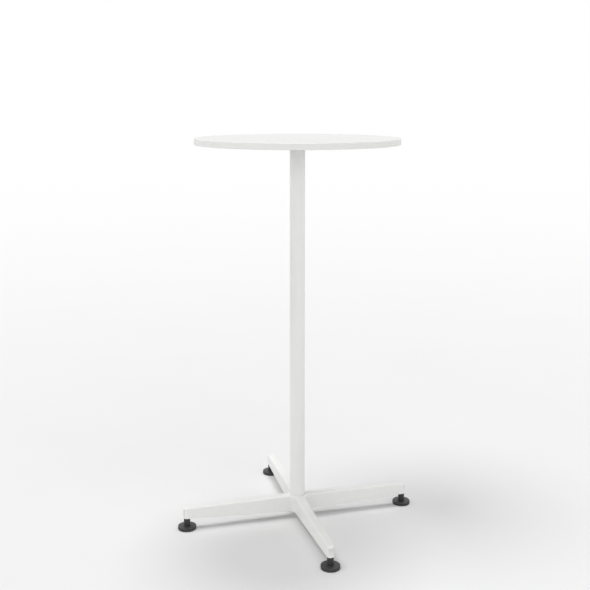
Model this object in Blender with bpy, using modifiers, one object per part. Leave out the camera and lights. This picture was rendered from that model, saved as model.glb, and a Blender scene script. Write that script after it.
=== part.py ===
"""High table: a round laminated top on one slim column, a cast base with four tapering arms, and
four levelling feet.

Metres, +Z up. The origin is on the floor, on the column's axis. The arms lie along +X, +Y, -X and -Y.
"""

import math

import bmesh
import bpy
from mathutils import Matrix, Vector

# Fits. Touching pieces keep CLEARANCE between their faces and a bolt has LOOSE_CLEARANCE in its
# hole; a cutter runs CUT_MARGIN past the face that it opens.
CLEARANCE = 0.0003
LOOSE_CLEARANCE = 0.0006
CUT_MARGIN = 0.004

# Table top: a laminated board with a plastic band round its rim.
TABLE_HEIGHT = 1.100
TOP_DIAMETER = 0.570
TOP_THICKNESS = 0.017
BAND_THICKNESS = 0.002
BAND_EDGE_RADIUS = 0.0016

# Steel plate that joins the board to the column.
PLATE_WIDTH = 0.190
PLATE_THICKNESS = 0.004
PLATE_CORNER_RADIUS = 0.022
PLATE_SCREW_INSET = 0.015
WOOD_SCREW_DIAMETER = 0.0045
WOOD_SCREW_BITE = 0.011
WOOD_SCREW_POINT = 0.003
WOOD_SCREW_HEAD_DIAMETER = 0.009
WOOD_SCREW_HEAD_HEIGHT = 0.0028
WOOD_SCREW_HEAD_SIDE = 0.0013
WOOD_SCREW_HEAD_FACE_DIAMETER = 0.0068
WOOD_SCREW_RECESS_DIAMETER = 0.0036
WOOD_SCREW_RECESS_DEPTH = 0.0014
PLATE_BOLT_COUNT = 3
PLATE_BOLT_DIAMETER = 0.006
PLATE_BOLT_HEAD_DIAMETER = 0.0115
PLATE_BOLT_RECESS_DIAMETER = 0.0036
PLATE_BOLT_RECESS_DEPTH = 0.0019
PLATE_BOLT_BITE = 0.016
PLATE_BOLT_CIRCLE_RADIUS = 0.0115

# Column: a round tube with a turned plug in each end.
COLUMN_DIAMETER = 0.0424
COLUMN_WALL = 0.002
TOP_PLUG_LENGTH = 0.028
TOP_PLUG_BORE = 0.007
BOTTOM_PLUG_LENGTH = 0.034

# Cast base: heights of the arms' upper and lower faces at the hub and at the tips, and their plan.
BASE_TOP_AT_HUB = 0.0674
BASE_TOP_AT_TIP = 0.0634
BASE_BOTTOM_AT_HUB = 0.0208
BASE_BOTTOM_AT_TIP = 0.0320
ARM_WIDTH_AT_HUB = 0.0285
ARM_WIDTH_AT_TIP = 0.0204
ARM_CORNER_RADIUS = 0.016
ARM_UPPER_EDGE_RADIUS = 0.003
ARM_LOWER_EDGE_RADIUS = 0.0008
CASTING_WALL = 0.0045
CASTING_CEILING = 0.006
RIB_COUNT = 2
RIB_THICKNESS = 0.004

# Bolt that clamps the base to the column.
BASE_BOLT_DIAMETER = 0.012
BASE_BOLT_HEAD_DIAMETER = 0.018
BASE_BOLT_HEAD_HEIGHT = 0.012
BASE_BOLT_CHAMFER = 0.0009
BASE_BOLT_BITE = 0.026
BASE_BOLT_SOCKET_ACROSS_FLATS = 0.010
BASE_BOLT_SOCKET_DEPTH = 0.006
BASE_WASHER_DIAMETER = 0.024
BASE_WASHER_THICKNESS = 0.0025
HUB_CLAMPED_THICKNESS = 0.022
HUB_WELL_CLEARANCE = 0.001
HUB_WELL_WALL = 0.007

# Levelling feet.
FOOT_CIRCLE_RADIUS = 0.3244
FOOT_DISC_DIAMETER = 0.0514
FOOT_RIM_HEIGHT = 0.0092
FOOT_DISC_HEIGHT = 0.0104
FOOT_NECK_DIAMETER = 0.0196
FOOT_UPPER_EDGE_RADIUS = 0.0012
FOOT_LOWER_CHAMFER = 0.0006
FOOT_COLLAR_DIAMETER = 0.0178
FOOT_COLLAR_CHAMFER = 0.0008
FOOT_TRAVEL = 0.012
SOLE_DIAMETER = 0.044
SOLE_THICKNESS = 0.0024
SOLE_PROUD = 0.0004
STUD_DIAMETER = 0.008
STUD_LEAST_BITE = 0.007
STUD_CHAMFER = 0.001
STUD_HEAD_DIAMETER = 0.013
STUD_HEAD_HEIGHT = 0.004
INSERT_DIAMETER = 0.012
INSERT_SPARE_DEPTH = 0.003

# Sides of round pieces, and steps in a rounded edge.
TOP_SIDES = 96
COLUMN_SIDES = 48
DISC_SIDES = 32
SMALL_SIDES = 20
SCREW_SIDES = 12
SOCKET_SIDES = 6
EDGE_STEPS = 3
TIP_STEPS = 12
CORNER_STEPS = 7

QUARTER_TURN = math.pi / 2
MERGE_DISTANCE = 0.00001
SHARP_ANGLE = math.radians(35)
FLAT_ANGLE = math.radians(0.1)

# Heights and radii that follow from the sizes above.
BOARD_BOTTOM = TABLE_HEIGHT - TOP_THICKNESS
PLATE_TOP = BOARD_BOTTOM - CLEARANCE
PLATE_BOTTOM = PLATE_TOP - PLATE_THICKNESS
COLUMN_TOP = PLATE_BOTTOM - CLEARANCE
COLUMN_BOTTOM = BASE_TOP_AT_HUB + CLEARANCE
COLUMN_RADIUS = COLUMN_DIAMETER / 2
PLUG_RADIUS = COLUMN_RADIUS - COLUMN_WALL - CLEARANCE
HUB_SEAT = BASE_TOP_AT_HUB - HUB_CLAMPED_THICKNESS
HUB_WELL_RADIUS = BASE_WASHER_DIAMETER / 2 + HUB_WELL_CLEARANCE
ARM_END = FOOT_CIRCLE_RADIUS - ARM_WIDTH_AT_TIP / 2
FOOT_COLLAR_BOTTOM = FOOT_DISC_HEIGHT + CLEARANCE
FOOT_COLLAR_TOP = BASE_BOTTOM_AT_TIP - CLEARANCE
STUD_HOLE_RADIUS = STUD_DIAMETER / 2 + CLEARANCE
STUD_HEAD_BOTTOM = SOLE_THICKNESS + LOOSE_CLEARANCE
STUD_HEAD_TOP = STUD_HEAD_BOTTOM + STUD_HEAD_HEIGHT
STUD_TOP = FOOT_COLLAR_TOP + FOOT_TRAVEL + STUD_LEAST_BITE
INSERT_BOTTOM = BASE_BOTTOM_AT_TIP + CLEARANCE
INSERT_TOP = STUD_TOP + INSERT_SPARE_DEPTH

WHITE_LAMINATE = ("White laminate", (0.86, 0.86, 0.84, 1.0), 0.45, 0.0)
WHITE_BAND = ("White band", (0.83, 0.83, 0.82, 1.0), 0.40, 0.0)
WHITE_POWDER_COAT = ("White powder coat", (0.78, 0.78, 0.76, 1.0), 0.50, 0.0)
BLACK_PLASTIC = ("Black plastic", (0.03, 0.03, 0.03, 1.0), 0.50, 0.0)
ZINC_STEEL = ("Zinc-plated steel", (0.62, 0.63, 0.65, 1.0), 0.35, 1.0)
BRASS = ("Brass", (0.72, 0.56, 0.28, 1.0), 0.35, 1.0)
GREY_RUBBER = ("Grey rubber", (0.10, 0.10, 0.10, 1.0), 0.80, 0.0)


# Scene and object helpers

def clear_scene():
    for obj in list(bpy.data.objects):
        bpy.data.objects.remove(obj, do_unlink=True)


def new_collection(name):
    collection = bpy.data.collections.new(name)
    bpy.context.scene.collection.children.link(collection)
    return collection


def surface(finish):
    """The Principled material of a finish, made once."""
    name, colour, roughness, metallic = finish
    found = bpy.data.materials.get(name)
    if found:
        return found
    material = bpy.data.materials.new(name)
    material.use_nodes = True
    shader = material.node_tree.nodes["Principled BSDF"]
    shader.inputs["Base Color"].default_value = colour
    shader.inputs["Roughness"].default_value = roughness
    shader.inputs["Metallic"].default_value = metallic
    material.diffuse_color = colour
    return material


def evaluated_mesh(obj):
    """A copy of the object's mesh with its modifiers, or its curve, turned into faces."""
    bpy.context.view_layer.update()
    graph = bpy.context.evaluated_depsgraph_get()
    return bpy.data.meshes.new_from_object(obj.evaluated_get(graph))


def baked(obj, name):
    """The mesh that the object evaluates to, welded and shaded; the object is removed."""
    mesh = evaluated_mesh(obj)
    mesh.name = name
    bpy.data.objects.remove(obj, do_unlink=True)
    weld(mesh)
    mesh.shade_smooth()
    mesh.set_sharp_from_angle(angle=SHARP_ANGLE)
    return mesh


def weld(mesh):
    shape = bmesh.new()
    shape.from_mesh(mesh)
    bmesh.ops.remove_doubles(shape, verts=shape.verts, dist=MERGE_DISTANCE)
    shape.to_mesh(mesh)
    shape.free()


def working_object(name, data):
    """An object in the cutters' collection: it shapes another piece and isn't rendered."""
    obj = bpy.data.objects.new(name, data)
    obj.hide_render = True
    obj.display_type = "WIRE"
    bpy.data.collections["Cutters"].objects.link(obj)
    return obj


def piece(name, mesh, finish, location=(0, 0, 0), parent=None):
    """One named sub-part of the table."""
    obj = bpy.data.objects.new(name, mesh)
    if not mesh.materials:
        mesh.materials.append(surface(finish))
    obj.location = location
    obj.parent = parent
    bpy.data.collections["High table"].objects.link(obj)
    return obj


# Shapes

def arc(centre, radius, start, end, steps):
    """Points of an arc from one angle to another, both ends included."""
    angles = [start + (end - start) * step / steps for step in range(steps + 1)]
    return [(centre[0] + radius * math.cos(a), centre[1] + radius * math.sin(a)) for a in angles]


def turned(name, profile, sides, closed=False):
    """A turned mesh. The profile's points are (radius, height), down the outer side.

    An open profile starts and ends on the axis. A closed one goes round a ring's section.
    """
    mesh = bpy.data.meshes.new(name)
    count = len(profile)
    edges = [(i, i + 1) for i in range(count - 1)]
    if closed:
        edges.append((count - 1, 0))
    mesh.from_pydata([(radius, 0, height) for radius, height in profile], edges, [])
    blank = working_object(name, mesh)
    screw = blank.modifiers.new("Turn", "SCREW")
    screw.steps = sides
    screw.render_steps = sides
    screw.use_merge_vertices = True
    screw.merge_threshold = MERGE_DISTANCE
    return baked(blank, name)


def cylinder(name, radius, bottom, top, sides):
    return turned(name, [(0, top), (radius, top), (radius, bottom), (0, bottom)], sides)


def ring(name, inner, outer, bottom, top, sides):
    section = [(inner, top), (outer, top), (outer, bottom), (inner, bottom)]
    return turned(name, section, sides, closed=True)


def extruded(name, outline, thickness):
    """A flat outline given a thickness about z = 0."""
    curve = bpy.data.curves.new(name, "CURVE")
    curve.dimensions = "2D"
    curve.fill_mode = "BOTH"
    curve.extrude = thickness / 2
    spline = curve.splines.new("POLY")
    spline.points.add(len(outline) - 1)
    for point, (x, y) in zip(spline.points, outline):
        point.co = (x, y, 0, 1)
    spline.use_cyclic_u = True
    return baked(working_object(name, curve), name)


def joined(name, placed):
    """One mesh from (mesh, matrix) pairs, for a cutter made of several separate shapes."""
    whole = bmesh.new()
    for mesh, matrix in placed:
        copy = mesh.copy()
        copy.transform(matrix)
        whole.from_mesh(copy)
        bpy.data.meshes.remove(copy)
    mesh = bpy.data.meshes.new(name)
    whole.to_mesh(mesh)
    whole.free()
    return mesh


def cut(mesh, cutters, name):
    """The mesh with each cutter taken away."""
    target = working_object(name, mesh)
    for number, cutter in enumerate(cutters, 1):
        boolean = target.modifiers.new(f"Cut {number}", "BOOLEAN")
        boolean.operation = "DIFFERENCE"
        boolean.solver = "EXACT"
        boolean.object = working_object(f"{name} cutter {number}", cutter)
    return baked(target, name)


def rounded_square(width, corner_radius):
    """The outline of a square with rounded corners, anticlockwise."""
    reach = width / 2 - corner_radius
    outline = []
    for quarter in range(4):
        middle = (0.5 + quarter) * QUARTER_TURN
        centre = (
            math.copysign(reach, math.cos(middle)),
            math.copysign(reach, math.sin(middle)),
        )
        start = quarter * QUARTER_TURN
        outline += arc(centre, corner_radius, start, start + QUARTER_TURN, CORNER_STEPS)
    return outline


# Table top

def make_board():
    """The board, with blind pilot holes for the wood screws in its underside."""
    radius = TOP_DIAMETER / 2 - BAND_THICKNESS - CLEARANCE
    board = cylinder("top_board", radius, BOARD_BOTTOM, TABLE_HEIGHT, TOP_SIDES)
    hole = cylinder(
        "Pilot hole",
        WOOD_SCREW_DIAMETER / 2 + CLEARANCE,
        BOARD_BOTTOM - CUT_MARGIN,
        BOARD_BOTTOM + WOOD_SCREW_BITE + CLEARANCE,
        SCREW_SIDES,
    )
    holes = joined("Pilot holes", [(hole, Matrix.Translation((x, y, 0))) for x, y in screw_places()])
    piece("top_board", cut(board, [holes], "top_board"), WHITE_LAMINATE)


def make_band():
    """The edge band: a ring whose two outer edges are rounded."""
    outer = TOP_DIAMETER / 2
    inner = outer - BAND_THICKNESS
    edge = BAND_EDGE_RADIUS
    upper = arc((outer - edge, TABLE_HEIGHT - edge), edge, QUARTER_TURN, 0, EDGE_STEPS)
    lower = arc((outer - edge, BOARD_BOTTOM + edge), edge, 0, -QUARTER_TURN, EDGE_STEPS)
    section = [(inner, TABLE_HEIGHT), *upper, *lower, (inner, BOARD_BOTTOM)]
    piece("edge_band", turned("edge_band", section, TOP_SIDES, closed=True), WHITE_BAND)


# Plate under the board

def screw_places():
    """The wood screws' places: the plate's four corners and the middles of its four sides."""
    reach = PLATE_WIDTH / 2 - PLATE_SCREW_INSET
    steps = (-1, 0, 1)
    return [(reach * i, reach * j) for i in steps for j in steps if i or j]


def plate_bolt_places():
    turns = [number * math.tau / PLATE_BOLT_COUNT for number in range(PLATE_BOLT_COUNT)]
    return [
        (PLATE_BOLT_CIRCLE_RADIUS * math.cos(turn), PLATE_BOLT_CIRCLE_RADIUS * math.sin(turn))
        for turn in turns
    ]


def countersink(name, head_radius, shank_radius, top, bottom, sides):
    """A flat top, a cone at 45 degrees down to the shank, and the shank."""
    cone = head_radius - shank_radius
    profile = [
        (0, top),
        (head_radius, top),
        (shank_radius, top - cone),
        (shank_radius, bottom),
        (0, bottom),
    ]
    return turned(name, profile, sides)


def make_plate():
    plate = extruded("top_plate", rounded_square(PLATE_WIDTH, PLATE_CORNER_RADIUS), PLATE_THICKNESS)
    plate.transform(Matrix.Translation((0, 0, PLATE_TOP - PLATE_THICKNESS / 2)))
    through = cylinder(
        "Screw hole",
        WOOD_SCREW_DIAMETER / 2 + CLEARANCE,
        PLATE_BOTTOM - CUT_MARGIN,
        PLATE_TOP + CUT_MARGIN,
        SCREW_SIDES,
    )
    sunk = countersink(
        "Bolt hole",
        PLATE_BOLT_HEAD_DIAMETER / 2 + LOOSE_CLEARANCE + CUT_MARGIN,
        PLATE_BOLT_DIAMETER / 2 + CLEARANCE,
        PLATE_TOP + CUT_MARGIN,
        PLATE_BOTTOM - CUT_MARGIN,
        SMALL_SIDES,
    )
    holes = [(through, Matrix.Translation((x, y, 0))) for x, y in screw_places()]
    holes += [(sunk, Matrix.Translation((x, y, 0))) for x, y in plate_bolt_places()]
    piece("top_plate", cut(plate, [joined("Plate holes", holes)], "top_plate"), ZINC_STEEL)


def make_wood_screws():
    """Pan-head screws that come up through the plate; the head has a round driver recess."""
    head = WOOD_SCREW_HEAD_DIAMETER / 2
    shank = WOOD_SCREW_DIAMETER / 2
    head_top = PLATE_BOTTOM - CLEARANCE
    head_bottom = head_top - WOOD_SCREW_HEAD_HEIGHT
    tip = BOARD_BOTTOM + WOOD_SCREW_BITE
    recess = WOOD_SCREW_RECESS_DIAMETER / 2
    recess_top = head_bottom + WOOD_SCREW_RECESS_DEPTH
    profile = [
        (0, tip),
        (shank, tip - WOOD_SCREW_POINT),
        (shank, head_top),
        (head, head_top),
        (head, head_top - WOOD_SCREW_HEAD_SIDE),
        (WOOD_SCREW_HEAD_FACE_DIAMETER / 2, head_bottom),
        (recess, head_bottom),
        (recess, recess_top),
        (0, recess_top),
    ]
    mesh = turned("wood_screw", profile, SCREW_SIDES)
    for number, (x, y) in enumerate(screw_places(), 1):
        piece(f"wood_screw_{number}", mesh, ZINC_STEEL, (x, y, 0))


def make_plate_bolts():
    """Countersunk bolts, flush in the plate, with a round driver recess."""
    head = PLATE_BOLT_HEAD_DIAMETER / 2
    shank = PLATE_BOLT_DIAMETER / 2
    top = PLATE_TOP - CLEARANCE
    cone_end = top - (head - shank)
    bottom = COLUMN_TOP - PLATE_BOLT_BITE
    recess = PLATE_BOLT_RECESS_DIAMETER / 2
    recess_bottom = top - PLATE_BOLT_RECESS_DEPTH
    profile = [
        (0, recess_bottom),
        (recess, recess_bottom),
        (recess, top),
        (head, top),
        (shank, cone_end),
        (shank, bottom),
        (0, bottom),
    ]
    mesh = turned("plate_bolt", profile, SCREW_SIDES)
    for number, (x, y) in enumerate(plate_bolt_places(), 1):
        piece(f"plate_bolt_{number}", mesh, ZINC_STEEL, (x, y, 0))


# Column and its plugs

def make_column():
    inner = COLUMN_RADIUS - COLUMN_WALL
    tube = ring("column_tube", inner, COLUMN_RADIUS, COLUMN_BOTTOM, COLUMN_TOP, COLUMN_SIDES)
    piece("column_tube", tube, WHITE_POWDER_COAT)


def make_top_plug():
    """The upper plug: a ring with blind holes for the plate's bolts."""
    bottom = COLUMN_TOP - TOP_PLUG_LENGTH
    plug = ring("top_plug", TOP_PLUG_BORE / 2, PLUG_RADIUS, bottom, COLUMN_TOP, COLUMN_SIDES)
    hole = cylinder(
        "Tapped hole",
        PLATE_BOLT_DIAMETER / 2 + CLEARANCE,
        COLUMN_TOP - PLATE_BOLT_BITE - CLEARANCE,
        COLUMN_TOP + CUT_MARGIN,
        SMALL_SIDES,
    )
    placed = [(hole, Matrix.Translation((x, y, 0))) for x, y in plate_bolt_places()]
    piece("top_plug", cut(plug, [joined("Tapped holes", placed)], "top_plug"), ZINC_STEEL)


def make_bottom_plug():
    """The lower plug: bored right through for the base bolt."""
    bore = BASE_BOLT_DIAMETER / 2 + CLEARANCE
    top = COLUMN_BOTTOM + BOTTOM_PLUG_LENGTH
    plug = ring("bottom_plug", bore, PLUG_RADIUS, COLUMN_BOTTOM, top, COLUMN_SIDES)
    piece("bottom_plug", plug, ZINC_STEEL)


# Cast base

def arm_taper():
    """The angle between an arm's side and its axis, for a side tangent to the round tip."""
    root = ARM_WIDTH_AT_HUB / 2
    reach = math.hypot(FOOT_CIRCLE_RADIUS, root)
    return math.atan2(root, FOOT_CIRCLE_RADIUS) - math.asin(ARM_WIDTH_AT_TIP / 2 / reach)


def arm_half_width(distance):
    """An arm's half width at a distance from the column's axis, short of the round tip."""
    return ARM_WIDTH_AT_HUB / 2 - distance * math.tan(arm_taper())


def corner_centre(taper):
    """Both coordinates of the centre of the round inner corner between two arms."""
    side = ARM_WIDTH_AT_HUB / 2 * math.cos(taper)
    return (side + ARM_CORNER_RADIUS) / (math.sin(taper) + math.cos(taper))


def hub_reach():
    """How far from the axis the round inner corners end and the arms run straight."""
    taper = arm_taper()
    return corner_centre(taper) - ARM_CORNER_RADIUS * math.sin(taper)


def star_outline():
    """The base in plan: four tip arcs and four inner corner arcs, joined by the arms' sides."""
    taper = arm_taper()
    centre = corner_centre(taper)
    square = QUARTER_TURN - taper
    quarter = arc((FOOT_CIRCLE_RADIUS, 0), ARM_WIDTH_AT_TIP / 2, -square, square, TIP_STEPS)
    corner = (centre, centre)
    quarter += arc(corner, ARM_CORNER_RADIUS, math.pi + square, math.pi + taper, CORNER_STEPS)
    outline = []
    for number in range(4):
        turn = Matrix.Rotation(number * QUARTER_TURN, 2)
        outline += [tuple(turn @ Vector(point)) for point in quarter]
    return outline


def height_between(distance, at_hub, at_tip):
    """A height that is level over the hub, slopes along the arm and is level again at the tip."""
    start = hub_reach()
    share = min(max((distance - start) / (ARM_END - start), 0.0), 1.0)
    return at_hub + (at_tip - at_hub) * share


def base_top(distance):
    return height_between(distance, BASE_TOP_AT_HUB, BASE_TOP_AT_TIP)


def base_bottom(distance):
    return height_between(distance, BASE_BOTTOM_AT_HUB, BASE_BOTTOM_AT_TIP)


def round_rim(shape, upper, radius, steps):
    """Rounds the edges of a slab's upper or lower face; the slab lies about z = 0."""
    rim = [
        edge
        for edge in shape.edges
        if edge.calc_face_angle() > SHARP_ANGLE and all((vert.co.z > 0) == upper for vert in edge.verts)
    ]
    bmesh.ops.bevel(shape, geom=rim, offset=radius, segments=steps, profile=0.5, affect="EDGES")


def split_arms(shape, distance):
    """Edges across all four arms at a distance from the axis, where a face starts to slope."""
    for number in range(4):
        outward = Matrix.Rotation(number * QUARTER_TURN, 3, "Z") @ Vector((1, 0, 0))
        bmesh.ops.bisect_plane(
            shape,
            geom=[*shape.verts, *shape.edges, *shape.faces],
            plane_co=outward * distance,
            plane_no=outward,
            dist=MERGE_DISTANCE,
        )


def make_casting():
    """The star's solid body: a slab, rounded above and nearly sharp below, with both faces sloped."""
    slab = BASE_TOP_AT_HUB - BASE_BOTTOM_AT_HUB
    mesh = extruded("star_base", star_outline(), slab)
    shape = bmesh.new()
    shape.from_mesh(mesh)
    bmesh.ops.dissolve_limit(shape, angle_limit=FLAT_ANGLE, verts=shape.verts, edges=shape.edges)
    round_rim(shape, True, ARM_UPPER_EDGE_RADIUS, EDGE_STEPS)
    round_rim(shape, False, ARM_LOWER_EDGE_RADIUS, 1)
    split_arms(shape, hub_reach())
    split_arms(shape, ARM_END)
    for vert in shape.verts:
        distance = max(abs(vert.co.x), abs(vert.co.y))
        if vert.co.z > 0:
            vert.co.z += base_top(distance) - slab / 2
        else:
            vert.co.z += base_bottom(distance) + slab / 2
    bmesh.ops.recalc_face_normals(shape, faces=shape.faces)
    shape.to_mesh(mesh)
    shape.free()
    return mesh


def pocket(name, near, far):
    """A tapered cavity between two distances along the +X arm, open below."""
    shape = bmesh.new()
    bmesh.ops.create_cube(shape, size=2)
    for vert in shape.verts:
        distance = far if vert.co.x > 0 else near
        ceiling = base_top(distance) - CASTING_CEILING
        floor = BASE_BOTTOM_AT_HUB - CUT_MARGIN
        half_width = arm_half_width(distance) - CASTING_WALL
        vert.co = (distance, math.copysign(half_width, vert.co.y), ceiling if vert.co.z > 0 else floor)
    mesh = bpy.data.meshes.new(name)
    shape.to_mesh(mesh)
    shape.free()
    return mesh


def make_pockets():
    """The cavities under all four arms, with cross ribs left between them."""
    start = max(HUB_WELL_RADIUS + HUB_WELL_WALL, hub_reach())
    end = FOOT_CIRCLE_RADIUS - INSERT_DIAMETER / 2 - CLEARANCE - CASTING_WALL
    length = (end - start - RIB_COUNT * RIB_THICKNESS) / (RIB_COUNT + 1)
    placed = []
    for number in range(RIB_COUNT + 1):
        near = start + number * (length + RIB_THICKNESS)
        cavity = pocket("Pocket", near, near + length)
        for arm in range(4):
            placed.append((cavity, Matrix.Rotation(arm * QUARTER_TURN, 4, "Z")))
    return joined("Pockets", placed)


def foot_places():
    """Name and turn of each arm: the foot stands that way from the column."""
    names = ("right", "back", "left", "front")
    return [(name, number * QUARTER_TURN) for number, name in enumerate(names)]


def foot_centre(turn):
    return (FOOT_CIRCLE_RADIUS * math.cos(turn), FOOT_CIRCLE_RADIUS * math.sin(turn), 0)


def make_base():
    """The casting, opened below: pockets, a well and bore for the base bolt, bores for the inserts."""
    below = BASE_BOTTOM_AT_HUB - CUT_MARGIN
    bolt_hole = BASE_BOLT_DIAMETER / 2 + LOOSE_CLEARANCE
    well = turned(
        "Bolt well",
        [
            (0, BASE_TOP_AT_HUB + CUT_MARGIN),
            (bolt_hole, BASE_TOP_AT_HUB + CUT_MARGIN),
            (bolt_hole, HUB_SEAT),
            (HUB_WELL_RADIUS, HUB_SEAT),
            (HUB_WELL_RADIUS, below),
            (0, below),
        ],
        COLUMN_SIDES,
    )
    insert_hole = INSERT_DIAMETER / 2 + CLEARANCE
    bore = cylinder("Insert bore", insert_hole, below, INSERT_TOP + CLEARANCE, SMALL_SIDES)
    bores = [(bore, Matrix.Translation(foot_centre(turn))) for _, turn in foot_places()]
    cutters = [make_pockets(), joined("Bores", [(well, Matrix.Identity(4)), *bores])]
    piece("star_base", cut(make_casting(), cutters, "star_base"), WHITE_POWDER_COAT)


def make_base_bolt():
    """The socket-head bolt under the hub, its head towards the floor."""
    shank = BASE_BOLT_DIAMETER / 2
    head = BASE_BOLT_HEAD_DIAMETER / 2
    washer_bottom = HUB_SEAT - CLEARANCE - BASE_WASHER_THICKNESS
    head_top = washer_bottom - CLEARANCE
    head_bottom = head_top - BASE_BOLT_HEAD_HEIGHT
    tip = COLUMN_BOTTOM + BASE_BOLT_BITE
    chamfer = BASE_BOLT_CHAMFER
    blank = turned(
        "base_bolt",
        [
            (0, tip),
            (shank - chamfer, tip),
            (shank, tip - chamfer),
            (shank, head_top),
            (head, head_top),
            (head, head_bottom + chamfer),
            (head - chamfer, head_bottom),
            (0, head_bottom),
        ],
        SMALL_SIDES,
    )
    socket = cylinder(
        "Socket",
        BASE_BOLT_SOCKET_ACROSS_FLATS / 2 / math.cos(math.pi / SOCKET_SIDES),
        head_bottom - CUT_MARGIN,
        head_bottom + BASE_BOLT_SOCKET_DEPTH,
        SOCKET_SIDES,
    )
    piece("base_bolt", cut(blank, [socket], "base_bolt"), ZINC_STEEL)
    washer = ring(
        "base_washer",
        shank + CLEARANCE,
        BASE_WASHER_DIAMETER / 2,
        washer_bottom,
        HUB_SEAT - CLEARANCE,
        SMALL_SIDES,
    )
    piece("base_washer", washer, ZINC_STEEL)


# Levelling feet

def disc_mesh():
    """The foot's disc: a puck with a recess below for the sole and a stepped bore for the stud."""
    outer = FOOT_DISC_DIAMETER / 2
    edge = FOOT_UPPER_EDGE_RADIUS
    chamfer = FOOT_LOWER_CHAMFER
    neck = FOOT_NECK_DIAMETER / 2
    recess = SOLE_DIAMETER / 2 + CLEARANCE
    recess_top = SOLE_THICKNESS + CLEARANCE
    chamber = STUD_HEAD_DIAMETER / 2 + CLEARANCE
    chamber_top = STUD_HEAD_TOP + CLEARANCE
    rim = arc((outer - edge, FOOT_RIM_HEIGHT - edge), edge, QUARTER_TURN, 0, EDGE_STEPS)
    section = [(STUD_HOLE_RADIUS, FOOT_DISC_HEIGHT), (neck, FOOT_DISC_HEIGHT), *rim]
    section += [(outer, SOLE_PROUD + chamfer), (outer - chamfer, SOLE_PROUD)]
    section += [(recess, SOLE_PROUD), (recess, recess_top), (chamber, recess_top)]
    section += [(chamber, chamber_top), (STUD_HOLE_RADIUS, chamber_top)]
    return turned("foot_disc", section, DISC_SIDES, closed=True)


def collar_mesh():
    """The sleeve on the stud that fills the space between the disc and the arm."""
    outer = FOOT_COLLAR_DIAMETER / 2
    chamfer = FOOT_COLLAR_CHAMFER
    section = [
        (STUD_HOLE_RADIUS, FOOT_COLLAR_TOP),
        (outer - chamfer, FOOT_COLLAR_TOP),
        (outer, FOOT_COLLAR_TOP - chamfer),
        (outer, FOOT_COLLAR_BOTTOM),
        (STUD_HOLE_RADIUS, FOOT_COLLAR_BOTTOM),
    ]
    return turned("foot_collar", section, SMALL_SIDES, closed=True)


def stud_mesh():
    """The steel stud: a button head held in the disc, and a plain shank up into the insert."""
    shank = STUD_DIAMETER / 2
    head = STUD_HEAD_DIAMETER / 2
    profile = [
        (0, STUD_TOP),
        (shank - STUD_CHAMFER, STUD_TOP),
        (shank, STUD_TOP - STUD_CHAMFER),
        (shank, STUD_HEAD_TOP),
        (head, STUD_HEAD_TOP),
        (head, STUD_HEAD_BOTTOM),
        (0, STUD_HEAD_BOTTOM),
    ]
    return turned("foot_stud", profile, SMALL_SIDES)


def make_feet():
    """Four feet. Each stands on an empty on its own axis, which is the axis it turns and slides on."""
    disc = disc_mesh()
    collar = collar_mesh()
    stud = stud_mesh()
    sole = cylinder("foot_sole", SOLE_DIAMETER / 2, 0, SOLE_THICKNESS, SMALL_SIDES)
    insert = ring(
        "arm_insert", STUD_HOLE_RADIUS, INSERT_DIAMETER / 2, INSERT_BOTTOM, INSERT_TOP, SMALL_SIDES
    )
    for name, turn in foot_places():
        axis = bpy.data.objects.new(f"foot axis {name}", None)
        axis.location = foot_centre(turn)
        bpy.data.collections["High table"].objects.link(axis)
        piece(f"foot_disc_{name}", disc, BLACK_PLASTIC, parent=axis)
        piece(f"foot_sole_{name}", sole, GREY_RUBBER, parent=axis)
        piece(f"foot_collar_{name}", collar, BLACK_PLASTIC, parent=axis)
        piece(f"foot_stud_{name}", stud, ZINC_STEEL, parent=axis)
        piece(f"arm_insert_{name}", insert, BRASS, foot_centre(turn))


def main():
    clear_scene()
    new_collection("High table")
    new_collection("Cutters")
    make_board()
    make_band()
    make_plate()
    make_wood_screws()
    make_plate_bolts()
    make_column()
    make_top_plug()
    make_bottom_plug()
    make_base()
    make_base_bolt()
    make_feet()


main()
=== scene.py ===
# %% [markdown]
# # A high table
# This notebook dresses a round white standing table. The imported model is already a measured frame:
# every piece is in place and in metres, with +Z up and the floor at zero. So the first step is to
# load it. The other steps lay finer surfaces over the coarse ones and give each its real finish.

# %% Load the frame
import math

import bmesh
import bpy
import numpy as np
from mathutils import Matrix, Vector


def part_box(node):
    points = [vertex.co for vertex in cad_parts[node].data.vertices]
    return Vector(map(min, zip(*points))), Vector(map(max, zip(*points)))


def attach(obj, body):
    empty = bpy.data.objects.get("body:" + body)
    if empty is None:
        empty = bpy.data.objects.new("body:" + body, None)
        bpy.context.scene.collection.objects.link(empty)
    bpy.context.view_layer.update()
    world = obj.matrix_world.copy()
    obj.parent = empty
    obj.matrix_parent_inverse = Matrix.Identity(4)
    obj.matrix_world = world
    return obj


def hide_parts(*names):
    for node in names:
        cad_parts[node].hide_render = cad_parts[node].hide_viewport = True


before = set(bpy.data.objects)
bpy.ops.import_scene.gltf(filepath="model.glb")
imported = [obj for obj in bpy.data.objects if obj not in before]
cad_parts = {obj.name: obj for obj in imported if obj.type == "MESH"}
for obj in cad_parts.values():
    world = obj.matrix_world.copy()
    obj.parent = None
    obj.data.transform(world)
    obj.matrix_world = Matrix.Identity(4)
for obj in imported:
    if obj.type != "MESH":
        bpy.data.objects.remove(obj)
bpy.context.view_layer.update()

# %% [markdown]
# ## The camera
# The photograph looks down on the top from just above it, a little from the left of one arm. Its
# upright lines stay parallel, which is a level camera with its lens shifted far down. A large
# shift would push the table out of the frame in every other view, so most of it is given as a tilt
# instead, and a small shift keeps the table's place in the picture.

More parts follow.
